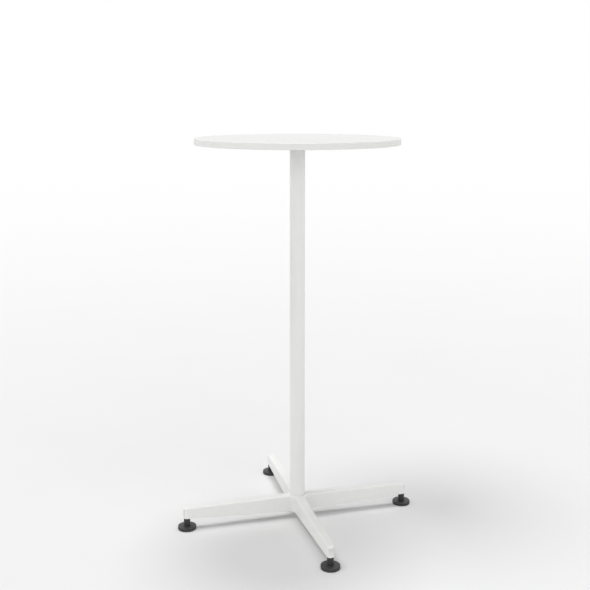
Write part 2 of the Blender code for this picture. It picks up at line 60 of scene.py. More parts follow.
# %% Camera
IMAGE_WIDTH = 590
FOCAL_PIXELS = 946.87
CAMERA_DISTANCE = 2.6223
CAMERA_HEIGHT = 1.2196
CAMERA_SIDESTEP = -0.0068
CAMERA_AZIMUTH = math.radians(-15.22)
CAMERA_TILT = math.radians(8.52)
LENS_SHIFT = -0.10
SENSOR_WIDTH = 36.0
FARTHEST_SEEN = 200.0

lens = bpy.data.cameras.new("photo lens")
lens.sensor_width = SENSOR_WIDTH
lens.lens = FOCAL_PIXELS * SENSOR_WIDTH / IMAGE_WIDTH
lens.shift_y = LENS_SHIFT
lens.clip_end = FARTHEST_SEEN
camera = bpy.data.objects.new("photo camera", lens)
bpy.context.scene.collection.objects.link(camera)
bpy.context.scene.camera = camera

across = Vector((math.cos(CAMERA_AZIMUTH), math.sin(CAMERA_AZIMUTH), 0))
inward = Vector((-math.sin(CAMERA_AZIMUTH), math.cos(CAMERA_AZIMUTH), 0))
camera.location = across * CAMERA_SIDESTEP - inward * CAMERA_DISTANCE
camera.location.z = CAMERA_HEIGHT
gaze = inward * math.cos(CAMERA_TILT) - Vector((0, 0, math.sin(CAMERA_TILT)))
camera.rotation_euler = gaze.to_track_quat("-Z", "Y").to_euler()
print("camera", [round(value, 3) for value in camera.location], "lens", round(lens.lens, 1), "mm")

# %% [markdown]
# ## Colours and nodes
# A colour is written as a screen would show it, as sRGB hex. Blender mixes light in linear values,
# so one function turns each code into them. The others start a material, add a node to it and fill
# a node's sockets: a number is written into its socket, and another node's output is linked to it.

# %% Helpers for every material
def linear(code):
    """sRGB hex to linear: c / 12.92 up to 0.04045, and ((c + 0.055) / 1.055) ** 2.4 above."""
    srgb = np.array([int(code[place:place + 2], 16) for place in (1, 3, 5)]) / 255
    light = np.where(srgb <= 0.04045, srgb / 12.92, ((srgb + 0.055) / 1.055) ** 2.4)
    return (*light.tolist(), 1.0)


def tones(first, second):
    """The two colours that a mix goes between, as its inputs."""
    return {"Color1": linear(first), "Color2": linear(second)}


def fill(tree, node, inputs):
    """Each named input of the node written or linked. A whole node stands for its first output."""
    for socket, value in inputs.items():
        if isinstance(value, bpy.types.Node):
            value = value.outputs[0]
        if isinstance(value, bpy.types.NodeSocket):
            tree.links.new(value, node.inputs[socket])
        else:
            node.inputs[socket].default_value = value


def add(tree, kind, inputs=None, **settings):
    """A node of this kind, with its settings made and its inputs filled."""
    node = tree.nodes.new("ShaderNode" + kind)
    for name, value in settings.items():
        setattr(node, name, value)
    fill(tree, node, inputs or {})
    return node


def start(name, constants):
    """A new material whose Principled shader has the constants written on it, with its node tree
    and the object coordinates that its patterns read."""
    material = bpy.data.materials.new(name)
    material.use_nodes = True
    tree = material.node_tree
    fill(tree, tree.nodes["Principled BSDF"], constants)
    return material, tree, add(tree, "TexCoord").outputs["Object"]


print("white", linear("#ffffff"), "mid grey", round(linear("#808080")[0], 3))

# %% [markdown]
# ## Floor and room
# The photograph was taken in a white studio: a pale floor with soft shadows that fades into pure
# white behind the table. The floor here is one very large disc. Near the table it is a matt grey
# white that takes the shadows. Farther out it turns, for the camera and for reflections only, into
# a plain white of strength 1, so that it lights nothing and still meets the white room unseen.
# The share that is left of the grey falls as exp(-(distance / length) ** bend), as in thin mist.
# The disc has one side only: from below it is clear, so the table's underside can be looked at.

# %% Floor
FLOOR_RADIUS = 90.0
FLOOR_SIDES = 96
FADE_LENGTH, FADE_BEND = 4.0, 1.3
FLOOR_CLOUD_WIDTH = 0.4


def circle(count):
    """Unit vectors all round: (cos a, sin a) at equal steps of the angle a."""
    angle = np.arange(count) / count * math.tau
    return np.stack([np.cos(angle), np.sin(angle)], axis=1)


def looked_at(tree):
    """1 for what the camera, a reflection or a clear material sees, and 0 for what gives light."""
    rays = add(tree, "LightPath")
    first = {0: rays.outputs["Is Camera Ray"], 1: rays.outputs["Is Glossy Ray"]}
    second = {0: add(tree, "Math", first, operation="ADD"), 1: rays.outputs["Is Transmission Ray"]}
    return add(tree, "Math", second, operation="ADD", use_clamp=True)


floor_rim = np.hstack([circle(FLOOR_SIDES) * FLOOR_RADIUS, np.zeros((FLOOR_SIDES, 1))])
floor_mesh = bpy.data.meshes.new("studio_floor")
floor_mesh.from_pydata(floor_rim.tolist(), [], [list(range(FLOOR_SIDES))])
floor = bpy.data.objects.new("studio_floor", floor_mesh)
bpy.context.scene.collection.objects.link(floor)

matt = {"Roughness": 0.7, "Specular IOR Level": 0.1}
floor_paint, tree, place = start("matt studio floor", matt)
away = add(tree, "VectorMath", {0: place}, operation="LENGTH").outputs["Value"]
lengths = add(tree, "Math", {0: away, 1: FADE_LENGTH}, operation="DIVIDE")
bent = add(tree, "Math", {0: lengths, 1: FADE_BEND}, operation="POWER")
left_over = add(tree, "Math", {0: math.exp(-1), 1: bent}, operation="POWER")
fade = add(tree, "Math", {0: 1.0, 1: left_over}, operation="SUBTRACT")
white_share = add(tree, "Math", {0: looked_at(tree), 1: fade}, operation="MULTIPLY")
mottle = add(tree, "TexNoise", {"Vector": place, "Scale": 1 / FLOOR_CLOUD_WIDTH, "Detail": 3.0})
paint = tree.nodes["Principled BSDF"]
fill(tree, paint, {"Base Color": add(tree, "MixRGB", {"Fac": mottle, **tones("#e4e4e4", "#e8e8e8")})})
glow = add(tree, "Emission", {"Color": linear("#ffffff"), "Strength": 1.0})
blend = add(tree, "MixShader", {0: white_share, 1: paint, 2: glow})
from_below = add(tree, "NewGeometry").outputs["Backfacing"]
sides = add(tree, "MixShader", {0: from_below, 1: blend, 2: add(tree, "BsdfTransparent")})
fill(tree, tree.nodes["Material Output"], {"Surface": sides})
floor_mesh.materials.append(floor_paint)
print("floor", 2 * FLOOR_RADIUS, "m across, with", len(tree.nodes), "nodes in its material")

# %% [markdown]
# ## Room
# The table's upright faces are almost as bright as its level ones, so the studio's walls must be
# bright, and its ceiling dark. The room gives light by its height: full near the horizon and little
# overhead, and a little more from the camera's side, because the faces that look at the camera
# are not darker than the others. The camera and the reflections see it as plain white.

# %% Room
WALL_LIGHT, CEILING_LIGHT = 1.12, 0.04
WALL_FULL_BELOW, WALL_DARK_ABOVE = 0.15, 0.85
WALL_TOWARDS = (-0.06, -0.26, 0.0)

scene = bpy.context.scene
scene.view_settings.view_transform = "Standard"
room = bpy.data.worlds.new("white studio")
scene.world = room
room.use_nodes = True
tree = room.node_tree
way = add(tree, "TexCoord").outputs["Generated"]
rise = add(tree, "SeparateXYZ", {0: way}).outputs["Z"]
heights = {"Value": rise, "From Min": WALL_FULL_BELOW, "From Max": WALL_DARK_ABOVE}
heights |= {"To Min": 1.0, "To Max": 0.0}
wall = add(tree, "MapRange", heights, interpolation_type="SMOOTHSTEP")
lean = add(tree, "VectorMath", {0: way, 1: WALL_TOWARDS}, operation="DOT_PRODUCT").outputs["Value"]
strength = add(tree, "Math", {0: lean, 1: WALL_LIGHT}, operation="ADD")
shares = {0: strength, 1: wall, 2: CEILING_LIGHT}
light = add(tree, "Math", shares, operation="MULTIPLY_ADD")
dim = tree.nodes["Background"]
fill(tree, dim, {"Color": linear("#ffffff"), "Strength": light})
bright = add(tree, "Background", {"Color": linear("#ffffff"), "Strength": 1.0})
both = add(tree, "MixShader", {0: looked_at(tree), 1: dim, 2: bright})
fill(tree, tree.nodes["World Output"], {"Surface": both})
print("walls", WALL_LIGHT, "ceiling", CEILING_LIGHT)

# %% [markdown]
# ## Lamps
# The shadows say where the lamps are. The top casts three soft ones on the floor: the deepest far
# out to the right, one to the front left, and a faint one at the back left. So there is a lamp high
# up on the left, one still higher behind the right side, and a faint, very wide one in front. A sun
# lamp with a wide angle stands for each, because its light doesn't fade with distance: the top and
# the floor far below it get the same. A room of strength 1 all round gives a level face pi, so
# each lamp's strength is its share times pi.

# %% Three soft lamps
LAMP_DISTANCE = 3.0  # a sun lamp shines the same from anywhere: this only places its symbol
LAMPS = {  # azimuth, elevation and width in degrees, and share of the light
    "left lamp": (174, 69, 26, 0.35),
    "rear lamp": (62, 77, 18, 0.33),
    "front lamp": (285, 55, 44, 0.13),
}

for name, (azimuth, elevation, width, share) in LAMPS.items():
    lamp = bpy.data.lights.new(name, "SUN")
    lamp.angle = math.radians(width)
    lamp.energy = share * math.pi
    lamp_object = bpy.data.objects.new(name, lamp)
    scene.collection.objects.link(lamp_object)
    around, above = math.radians(azimuth), math.radians(elevation)
    flat = math.cos(above)
    towards = Vector((flat * math.cos(around), flat * math.sin(around), math.sin(above)))
    lamp_object.location = towards * LAMP_DISTANCE
    lamp_object.rotation_euler = towards.to_track_quat("Z", "Y").to_euler()
    print(name, "strength", round(lamp.energy, 3))

# %% [markdown]
# ## From rows of points to a surface
# Nearly every piece of this table is a section carried round something: round a circle for the
# turned pieces, or round the star's outline for the base. Such a surface is a grid. Each row is one
# step along the section, and each column one step round the path. The whole grid is worked out at
# once as an array, and one function makes the mesh from it.

# %% Surfaces from grids
MERGE = 1e-6
SHARP = math.radians(32)


def unit(vectors):
    """Each vector divided by its own length."""
    return vectors / np.linalg.norm(vectors, axis=-1, keepdims=True)


def carried(path, outward, section):
    """A section of (offset, height) steps carried round a path: each point is the path's point
    plus the offset along the outward direction there, at the section's height."""
    plan = path[None] + section[:, None, :1] * outward[None]
    height = np.broadcast_to(section[:, None, 1:], plan.shape[:2] + (1,))
    return np.concatenate([plan, height], axis=2)


def mesh_of(name, rows, closed=False):
    """A mesh of quads between neighbouring points of the grid. The columns run all the way round;
    the rows do too if the section is closed. Rows that shrink to a point become a pole."""
    steps, around = rows.shape[:2]
    row = np.arange(steps if closed else steps - 1)[:, None]
    column = np.arange(around)[None]
    after, beside = (row + 1) % steps, (column + 1) % around
    here, under = row * around, after * around
    quads = np.stack([here + column, under + column, under + beside, here + beside], axis=-1)
    mesh = bpy.data.meshes.new(name)
    mesh.from_pydata(rows.reshape(-1, 3).tolist(), [], quads.reshape(-1, 4).tolist())
    shape = bmesh.new()
    shape.from_mesh(mesh)
    bmesh.ops.remove_doubles(shape, verts=shape.verts, dist=MERGE)
    bmesh.ops.recalc_face_normals(shape, faces=shape.faces)
    shape.to_mesh(mesh)
    shape.free()
    return mesh


def capped(rows):
    """The same rows with a pole before the first and after the last, at the middle of each."""
    ends = [np.broadcast_to(row.mean(axis=0), row.shape) for row in (rows[0], rows[-1])]
    return np.concatenate([ends[:1], rows, ends[1:]])


print("points nearer than", MERGE, "m are one; edges over", round(math.degrees(SHARP)), "degrees are sharp")

# %% [markdown]
# ## Soft corners
# No real edge is perfectly sharp, and it is the small round edges that catch the light. Blender's
# Bevel modifier would round every edge of a piece alike. Here the corners of the section are
# rounded instead, each by its own radius, before the section is carried round.

# %% Rounded sections
def softened(corners, radii, steps=6, closed=False):
    """Corners of a section turned into arcs. With unit vectors a and b from a corner to its
    neighbours and h half the angle between them, the arc's centre lies radius / sin(h) along their
    bisector, and the arc runs from radius / tan(h) along a to radius / tan(h) along b."""
    here = np.array(corners, float)
    before, after, ends = np.roll(here, 1, axis=0), np.roll(here, -1, axis=0), [here[:0], here[:0]]
    if not closed:
        ends = [here[:1], here[-1:]]
        before, here, after = here[:-2], here[1:-1], here[2:]
    radius = np.broadcast_to(np.array(radii, float), len(here))[:, None]
    a, b = unit(before - here), unit(after - here)
    half = np.arccos(np.clip((a * b).sum(axis=1, keepdims=True), -1, 1)) / 2
    centre = here + unit(a + b) * radius / np.sin(half)
    first = here + a * radius / np.tan(half) - centre
    last = here + b * radius / np.tan(half) - centre
    turn = math.pi - 2 * half
    share = np.linspace(0, 1, steps)[:, None, None]
    arcs = centre + (np.sin((1 - share) * turn) * first + np.sin(share * turn) * last) / np.sin(turn)
    points = np.concatenate([ends[0], arcs.transpose(1, 0, 2).reshape(-1, 2), ends[1]])
    apart = np.linalg.norm(points - np.roll(points, 1, axis=0), axis=1) > MERGE
    apart[0] |= not closed
    return points[apart]


def oblong(inner, outer, low, high):
    """The four corners of a section, from its inner upper one by way of the outer ones."""
    return [(inner, high), (outer, high), (outer, low), (inner, low)]


def turned(section, count, centre=(0.0, 0.0)):
    """The rows of a section turned round an upright axis: (r cos a, r sin a, z)."""
    return carried(np.array([centre]), circle(count), np.array(section, float))


print("a square with soft corners has", len(softened(oblong(-1, 1, -1, 1), 0.5, closed=True)), "points")

# %% [markdown]
# ## Putting a piece in place
# A new piece stands for a piece of the frame: it takes its place and moves with the same body. Big
# flat faces next to a small round edge would be shaded as if they curved, so a Weighted Normal
# modifier lets the larger face decide.


def solid(name, mesh, node, body="table"):
    """An object for this mesh that stands for a node of the frame and rides on its body."""
    mesh.shade_smooth()
    mesh.set_sharp_from_angle(angle=SHARP)
    piece = bpy.data.objects.new(name, mesh)
    scene.collection.objects.link(piece)
    piece.modifiers.new("flat faces stay flat", "WEIGHTED_NORMAL").keep_sharp = True
    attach(piece, body)
    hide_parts(node)
    print(name, len(mesh.polygons), "faces")
    return piece


def sizes(node):
    """A node's radius in plan, and its lowest and highest point."""
    low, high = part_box(node)
    return (high.x - low.x) / 2, low.z, high.z


def cut_away(mesh, tool_meshes):
    """What is left of a mesh after a Boolean difference with other closed shapes."""
    tools = bmesh.new()
    for tool in tool_meshes:
        tools.from_mesh(tool)
    tool_mesh = bpy.data.meshes.new("cutting tool")
    tools.to_mesh(tool_mesh)
    tools.free()
    target = bpy.data.objects.new("blank", mesh)
    tool = bpy.data.objects.new("cutting tool", tool_mesh)
    scene.collection.objects.link(target)
    scene.collection.objects.link(tool)
    cut = target.modifiers.new("cut", "BOOLEAN")
    cut.operation, cut.solver, cut.object = "DIFFERENCE", "EXACT", tool
    graph = bpy.context.evaluated_depsgraph_get()
    result = bpy.data.meshes.new_from_object(target.evaluated_get(graph))
    bpy.data.objects.remove(target)
    bpy.data.objects.remove(tool)
    return result


# %% [markdown]
# ## The top: board and edge band
# The top is a laminated board 17 mm thick with a plastic band glued round its edge. Both are
# turned sections. The band's outer corners are milled round after it is glued on, with a cutter
# of 1.6 mm radius, and that round edge is the thin light line along the rim.

# %% Board and band
TOP_COLUMNS = 256
BAND_THICKNESS = 0.002
BAND_EDGE_RADIUS = 0.0016
BOARD_EDGE_BREAK = 0.0001

board_radius, board_low, board_high = sizes("top_board")
board_corners = oblong(0, board_radius, board_low, board_high)
board_section = softened(board_corners, BOARD_EDGE_BREAK, steps=3)
board_mesh = mesh_of("laminated_board", turned(board_section, TOP_COLUMNS))
board = solid("laminated_board", board_mesh, "top_board")

band_radius, band_low, band_high = sizes("edge_band")
band_corners = oblong(band_radius - BAND_THICKNESS, band_radius, band_low, band_high)
band_section = softened(band_corners, [0, BAND_EDGE_RADIUS, BAND_EDGE_RADIUS, 0], steps=9, closed=True)
band_rows = turned(band_section, TOP_COLUMNS)
band = solid("rim_band", mesh_of("rim_band", band_rows, closed=True), "edge_band")

# %% [markdown]
# ## The plate under the board
# A square steel plate spreads the column's hold over the board. It is cut from sheet, its corners
# are rounded and its holes drilled: eight for wood screws and three, countersunk from above, for
# the bolts down into the column. The outline is a square with soft corners; the holes are cut.

# %% Plate
PLATE_CORNER_RADIUS = 0.022
PLATE_CORNER_STEPS = 14
PLATE_EDGE_RADIUS = 0.0004
SCREW_DIAMETER = 0.0045
PLATE_BOLT_DIAMETER = 0.006
HOLE_COLUMNS = 32
CUT_MARGIN = 0.004
SCREW_COUNT, PLATE_BOLT_COUNT = 8, 3
LOOSE = 0.0006
FIT = 0.0003


def outward_of(path):
    """The outward direction at each point of a path that runs anticlockwise: the line from the
    point before to the point after, turned a quarter clockwise."""
    along = unit(np.roll(path, -1, axis=0) - np.roll(path, 1, axis=0))
    return np.stack([along[:, 1], -along[:, 0]], axis=1)


plate_half, plate_low, plate_high = sizes("top_plate")
square = np.array([(-1, -1), (1, -1), (1, 1), (-1, 1)]) * plate_half
plate_path = softened(square, PLATE_CORNER_RADIUS, PLATE_CORNER_STEPS, closed=True)
edge_corners = oblong(-PLATE_CORNER_RADIUS, 0, plate_low, plate_high)
plate_edge = softened(edge_corners, PLATE_EDGE_RADIUS, steps=4)[1:-1]
plate_rows = capped(carried(plate_path, outward_of(plate_path), plate_edge))

cut_high, cut_low = plate_high + CUT_MARGIN, plate_low - CUT_MARGIN


def middles(kind, count):
    """The middle in plan of each numbered node of a kind."""
    boxes = {number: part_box(f"{kind}_{number}") for number in range(1, count + 1)}
    return {number: np.array(box)[:, :2].mean(axis=0) for number, box in boxes.items()}


screw_places, bolt_places = middles("wood_screw", SCREW_COUNT), middles("plate_bolt", PLATE_BOLT_COUNT)
screw_hole_radius = SCREW_DIAMETER / 2 + FIT
screw_hole = oblong(0, screw_hole_radius, cut_low, cut_high)
bolt_head_radius = sizes("plate_bolt_1")[0]
bolt_hole_radius = PLATE_BOLT_DIAMETER / 2 + FIT
bolt_mouth = bolt_head_radius + LOOSE + CUT_MARGIN
bolt_hole = [
    (0, cut_high),
    (bolt_mouth, cut_high),
    (bolt_hole_radius, cut_high - bolt_mouth + bolt_hole_radius),
    (bolt_hole_radius, cut_low),
    (0, cut_low),
]
plate_tools = [
    mesh_of("hole", turned(section, HOLE_COLUMNS, centre=place))
    for section, places in ((screw_hole, screw_places), (bolt_hole, bolt_places))
    for place in places.values()
]
plate = solid("fixing_plate", cut_away(mesh_of("fixing_plate", plate_rows), plate_tools), "top_plate")

# %% [markdown]
# ## The column
# The column is a steel tube, sawn to length with its two ends deburred. A turned ring section
# with a small radius at each corner is all it needs, with enough columns to look round.

# %% Column
COLUMN_COLUMNS = 128
COLUMN_WALL = 0.002
TUBE_END_RADIUS = 0.00015

tube_radius, tube_low, tube_high = sizes("column_tube")
tube_corners = oblong(tube_radius - COLUMN_WALL, tube_radius, tube_low, tube_high)
tube_section = softened(tube_corners, TUBE_END_RADIUS, steps=4, closed=True)
tube_rows = turned(tube_section, COLUMN_COLUMNS)
column = solid("column", mesh_of("column", tube_rows, closed=True), "column_tube")

# %% [markdown]
# ## The cast base: its outline
# The base is one aluminium casting: a four-armed star whose arms narrow and get shallower
# towards round tips. Seen from above, half an arm is three curves: a tip arc, a straight side and
# half of the round inner corner to the next arm. The other half is its mirror image.

# %% Half an arm in plan
FOOT_CIRCLE_RADIUS = 0.3244
ARM_HALF_AT_HUB = 0.0285 / 2
ARM_HALF_AT_TIP = 0.0204 / 2
ARM_CORNER_RADIUS = 0.016
TIP_STEPS, SIDE_STEPS, CORNER_STEPS = 18, 26, 10
QUARTER = math.pi / 2
ARMS = 4

arm_taper = math.atan2(ARM_HALF_AT_HUB, FOOT_CIRCLE_RADIUS)
arm_taper -= math.asin(ARM_HALF_AT_TIP / math.hypot(FOOT_CIRCLE_RADIUS, ARM_HALF_AT_HUB))
corner_middle = ARM_HALF_AT_HUB * math.cos(arm_taper) + ARM_CORNER_RADIUS
corner_middle /= math.sin(arm_taper) + math.cos(arm_taper)
hub_reach = corner_middle - ARM_CORNER_RADIUS * math.sin(arm_taper)


def arc(centre, radius, start, stop, steps):
    """Points and directions of an arc: centre + radius * (cos a, sin a)."""
    angle = np.linspace(start, stop, steps)
    direction = np.stack([np.cos(angle), np.sin(angle)], axis=1)
    return np.array(centre) + radius * direction, direction


square_turn = QUARTER - arm_taper
tip_points, tip_out = arc((FOOT_CIRCLE_RADIUS, 0), ARM_HALF_AT_TIP, 0, square_turn, TIP_STEPS)
corner_points, corner_in = arc(
    (corner_middle, corner_middle),
    ARM_CORNER_RADIUS,
    math.pi + square_turn,
    math.pi + QUARTER / 2,
    CORNER_STEPS,
)
side_share = np.linspace(0, 1, SIDE_STEPS + 2)[1:-1, None]
side_points = tip_points[-1] + (corner_points[0] - tip_points[-1]) * side_share
side_out = np.broadcast_to(tip_out[-1], side_points.shape)
half_path = np.concatenate([tip_points, side_points, corner_points])
half_out = np.concatenate([tip_out, side_out, -corner_in])
MIRROR = np.array([1, -1])
arm_path = np.concatenate([(half_path * MIRROR)[::-1], half_path[1:-1]])
arm_out = np.concatenate([(half_out * MIRROR)[::-1], half_out[1:-1]])
print("arm taper", round(math.degrees(arm_taper), 2), "degrees,", len(arm_path), "columns")

# %% [markdown]
# ## The cast base: its surface
# Now a section is carried round that outline: in from the arm's spine to the edge, over a 3 mm
# rounding, down the side, round the small lower edge and back under to the spine. Both faces
# slope: the top falls a little from hub to tip, and the underside rises much more, so that the
# arms look light from the side. The same grid turned four times makes the star.

# %% Star surface
ARM_UPPER_EDGE_RADIUS = 0.003
ARM_LOWER_EDGE_RADIUS = 0.0008
BASE_TOP_AT_TIP = 0.0634
BASE_BOTTOM_AT_TIP = 0.0320
FACE_STEPS, ROUND_STEPS, WALL_STEPS = 6, 8, 4

base_low, base_high = sizes("star_base")[1:]
arm_end = FOOT_CIRCLE_RADIUS - ARM_HALF_AT_TIP


def casting_top(distance):
    """Level over the hub, then a straight slope to the arm's end, then level over the tip."""
    return np.interp(distance, [hub_reach, arm_end], [base_high, BASE_TOP_AT_TIP])


def casting_bottom(distance):
    """The same for the underside."""
    return np.interp(distance, [hub_reach, arm_end], [base_low, BASE_BOTTOM_AT_TIP])


def steps_of(*columns):
    """One step for each set of values; a single number stands for all steps."""
    return np.stack(np.broadcast_arrays(*columns), axis=-1)


def sloped(path, outward, spine, steps, high, low):
    """Rows round a path between two sloping faces. Each step is (offset, reach, share, lift). The
    plan is spine + reach * (path + offset * outward - spine). The height is what lies the share of
    the way from the high face to the low one at that x, plus the lift."""
    offset, reach, share, lift = steps.T[:, :, None]
    plan = spine + (path + offset[..., None] * outward - spine) * reach[..., None]
    height = high(plan[..., 0]) * (1 - share) + low(plan[..., 0]) * share + lift
    return np.concatenate([plan, height[..., None]], axis=2)


def spun(rows, turn):
    """The rows turned round the column's axis."""
    cosine, sine = math.cos(turn), math.sin(turn)
    return rows @ np.array([[cosine, sine, 0], [-sine, cosine, 0], [0, 0, 1]])


upper, lower = ARM_UPPER_EDGE_RADIUS, ARM_LOWER_EDGE_RADIUS
bend = np.linspace(0, QUARTER, ROUND_STEPS)
face = np.linspace(0, 1, FACE_STEPS, endpoint=False)
wall = np.linspace(0, 1, WALL_STEPS + 2)[1:-1]
arm_steps = np.concatenate([
    steps_of(-upper, face, 0, 0),
    steps_of(upper * (np.sin(bend) - 1), 1, 0, upper * (np.cos(bend) - 1)),
    steps_of(0, 1, wall, lower * wall - upper * (1 - wall)),
    steps_of(lower * (np.cos(bend) - 1), 1, 1, lower * (1 - np.sin(bend))),
    steps_of(-lower, face[::-1], 1, 0),
])
# The spine of a point (x, y) of the outline is (x - |y|, 0), so that the columns of all four arms
# come together over the hub.
spine_x = np.clip(arm_path[:, 0] - np.abs(arm_path[:, 1]), 0, FOOT_CIRCLE_RADIUS)
arm_spine = steps_of(spine_x, 0)
arm_rows = sloped(arm_path, arm_out, arm_spine, arm_steps, casting_top, casting_bottom)
star_rows = np.concatenate([spun(arm_rows, number * QUARTER) for number in range(ARMS)], axis=1)
star_blank = mesh_of("cast_star", star_rows)
print("star blank", len(star_blank.polygons), "faces")

# %% [markdown]
# ## The cast base: hollows and bores
# A casting is never thicker than it must be. From below, each arm is hollow: three pockets with
# cross ribs between them, with round corners and a little draft so that it leaves its mould. The
# hub has a well for the clamping bolt, and each tip a bore for a threaded insert. These are shapes
# taken away from the star, so each is modelled as a closed tool and cut out with a Boolean.

# %% Pockets, well and bores
CASTING_WALL = 0.0045
CASTING_CEILING = 0.006
RIB_THICKNESS = 0.004
POCKETS_PER_ARM = 3
POCKET_CORNER_RADIUS = 0.002
POCKET_CEILING_RADIUS = 0.0015
POCKET_DRAFT = 0.0006
HUB_CLAMPED_THICKNESS = 0.022
HUB_WELL_CLEARANCE = 0.001
HUB_WELL_WALL = 0.007
WELL_CORNER_RADIUS = 0.0008
CLAMP_BOLT_DIAMETER = 0.012
WELL_COLUMNS, BORE_COLUMNS = 64, 40
below = base_low - CUT_MARGIN

washer_radius, washer_low, washer_high = sizes("base_washer")
insert_radius, insert_low, insert_high = sizes("arm_insert_right")
well_radius = washer_radius + HUB_WELL_CLEARANCE
hub_seat = base_high - HUB_CLAMPED_THICKNESS
bolt_bore = CLAMP_BOLT_DIAMETER / 2 + LOOSE


def pocket_rows(near, far):
    """A tapered cavity along the +X arm, open below: a four-sided outline with round corners,
    drawn in by the draft as it rises, and rounded again into its sloping ceiling."""
    half = ARM_HALF_AT_HUB - np.array([near, far]) * math.tan(arm_taper) - CASTING_WALL
    corners = [(near, -half[0]), (far, -half[1]), (far, half[1]), (near, half[0])]
    path = softened(corners, POCKET_CORNER_RADIUS, closed=True)
    reach = np.linspace(0, 1, FACE_STEPS)
    steps = np.concatenate([
        steps_of(0, reach, 1, 0),
        steps_of(POCKET_CEILING_RADIUS * (np.cos(bend) - 1) - POCKET_DRAFT, 1, 0,
                 POCKET_CEILING_RADIUS * (np.sin(bend) - 1)),
        steps_of(-POCKET_DRAFT - POCKET_CEILING_RADIUS, reach[::-1], 0, 0),
    ])
    middle = np.array([[(near + far) / 2, 0.0]])
    return sloped(
        path, outward_of(path), middle, steps,
        lambda x: casting_top(x) - CASTING_CEILING, lambda x: np.full_like(x, below),
    )


pockets_start = max(well_radius + HUB_WELL_WALL, hub_reach)
pockets_end = FOOT_CIRCLE_RADIUS - insert_radius - FIT - CASTING_WALL
pocket_length = (pockets_end - pockets_start + RIB_THICKNESS) / POCKETS_PER_ARM - RIB_THICKNESS
star_tools = []
for number in range(POCKETS_PER_ARM):
    near = pockets_start + number * (pocket_length + RIB_THICKNESS)
    rows = pocket_rows(near, near + pocket_length)
    star_tools += [mesh_of("pocket", spun(rows, turn * QUARTER)) for turn in range(ARMS)]
well_section = softened(
    [
        (0, base_high + CUT_MARGIN),
        (bolt_bore, base_high + CUT_MARGIN),
        (bolt_bore, hub_seat),
        (well_radius, hub_seat),
        (well_radius, below),
        (0, below),
    ],
    [0, 0, WELL_CORNER_RADIUS, 0],
)
star_tools.append(mesh_of("well", turned(well_section, WELL_COLUMNS)))
bore_radius, bore_high = insert_radius + FIT, insert_high + FIT
bore_section = oblong(0, bore_radius, below, bore_high)
FEET = {"right": (1, 0), "back": (0, 1), "left": (-1, 0), "front": (0, -1)}
foot_centres = {name: np.array(way) * FOOT_CIRCLE_RADIUS for name, way in FEET.items()}
for centre in foot_centres.values():
    star_tools.append(mesh_of("bore", turned(bore_section, BORE_COLUMNS, centre=centre)))
star = solid("cast_star", cut_away(star_blank, star_tools), "star_base")

# %% [markdown]
# ## The cast base: how deep a hollow is
# The powder coat paints the hollows greyer, as painted shade along with thin powder, so it needs to
# know where they are. A point is in one if it is farther in from the arm's side than half the wall.
# The share of the way up from the underside to the hollow's ceiling is stored on the mesh's points
# under a name, and the finish reads it there.

# %% Depth in the hollows
HOLLOW_SHARE = "depth in hollow"

star_points = np.empty(len(star.data.vertices) * 3)
star.data.vertices.foreach_get("co", star_points)
star_points = star_points.reshape(-1, 3)
out_along = np.abs(star_points[:, :2]).max(axis=1)
out_across = np.abs(star_points[:, :2]).min(axis=1)
half_width = ARM_HALF_AT_HUB - out_along * math.tan(arm_taper)
underside, ceiling = casting_bottom(out_along), casting_top(out_along) - CASTING_CEILING
share_up = np.clip((star_points[:, 2] - underside) / (ceiling - underside), 0, 1)
inside = (out_across < half_width - CASTING_WALL / 2) & (star_points[:, 2] < ceiling + FIT)
hollow = star.data.attributes.new(HOLLOW_SHARE, "FLOAT", "POINT")
hollow.data.foreach_set("value", np.where(inside, share_up, 0.0))
print("points in the hollows", int(inside.sum()), "of", len(inside))

# %% [markdown]
# ## Screw threads
# A thread is a ridge that climbs as it goes round. So its radius is a wave of height minus turn:
# go up by one pitch, or round by one turn, and the wave is back where it was. It is flat at its
# crests and roots, and it dies out over the last pitch at each end, as a rolled thread does.

# %% Thread rows
ROWS_PER_PITCH = 7
THREAD_COLUMNS = 48
THREAD_DEPTH_SHARE = 0.6134
ROOT_FLAT, CREST_FLAT = 1 / 4, 1 / 8


def thread_rows(radius, pitch, low, high, centre=(0.0, 0.0), count=THREAD_COLUMNS):
    """Rows of a right-handed thread, from high to low. At height z and turn t the ridge is a
    triangle wave of z / pitch - t with its top and bottom cut flat; the radius is the outer one
    less the thread's depth where there is no ridge."""
    height = np.arange(high, low, -pitch / ROWS_PER_PITCH)[:, None]
    turn = (np.arange(count) / count)[None]
    wave = np.abs((height / pitch - turn) % 1.0 - 0.5) * 2
    ridge = np.clip((wave - ROOT_FLAT) / (1 - ROOT_FLAT - CREST_FLAT), 0, 1)
    fade = np.clip(np.minimum(height - low, high - height) / pitch, 0, 1)
    distance = radius - THREAD_DEPTH_SHARE * pitch * (1 - ridge * fade)
    plan = np.array(centre) + distance[..., None] * circle(count)
    return np.concatenate([plan, np.broadcast_to(height, distance.shape)[..., None]], axis=2)


print("thread", THREAD_DEPTH_SHARE, "pitches deep, with", ROWS_PER_PITCH, "rows to a pitch")

# %% [markdown]
# ## The clamping bolt and its washer
# One M12 socket-head bolt pulls the base up against the column. Its head shows from below, with a
# hexagonal socket and a knurl round its side. Both are radii that change with the angle: the
# hexagon is its inner radius over the cosine of the angle to the middle of a side, and the knurl
# is a small wave. So the bolt is one grid, and nothing has to be cut.

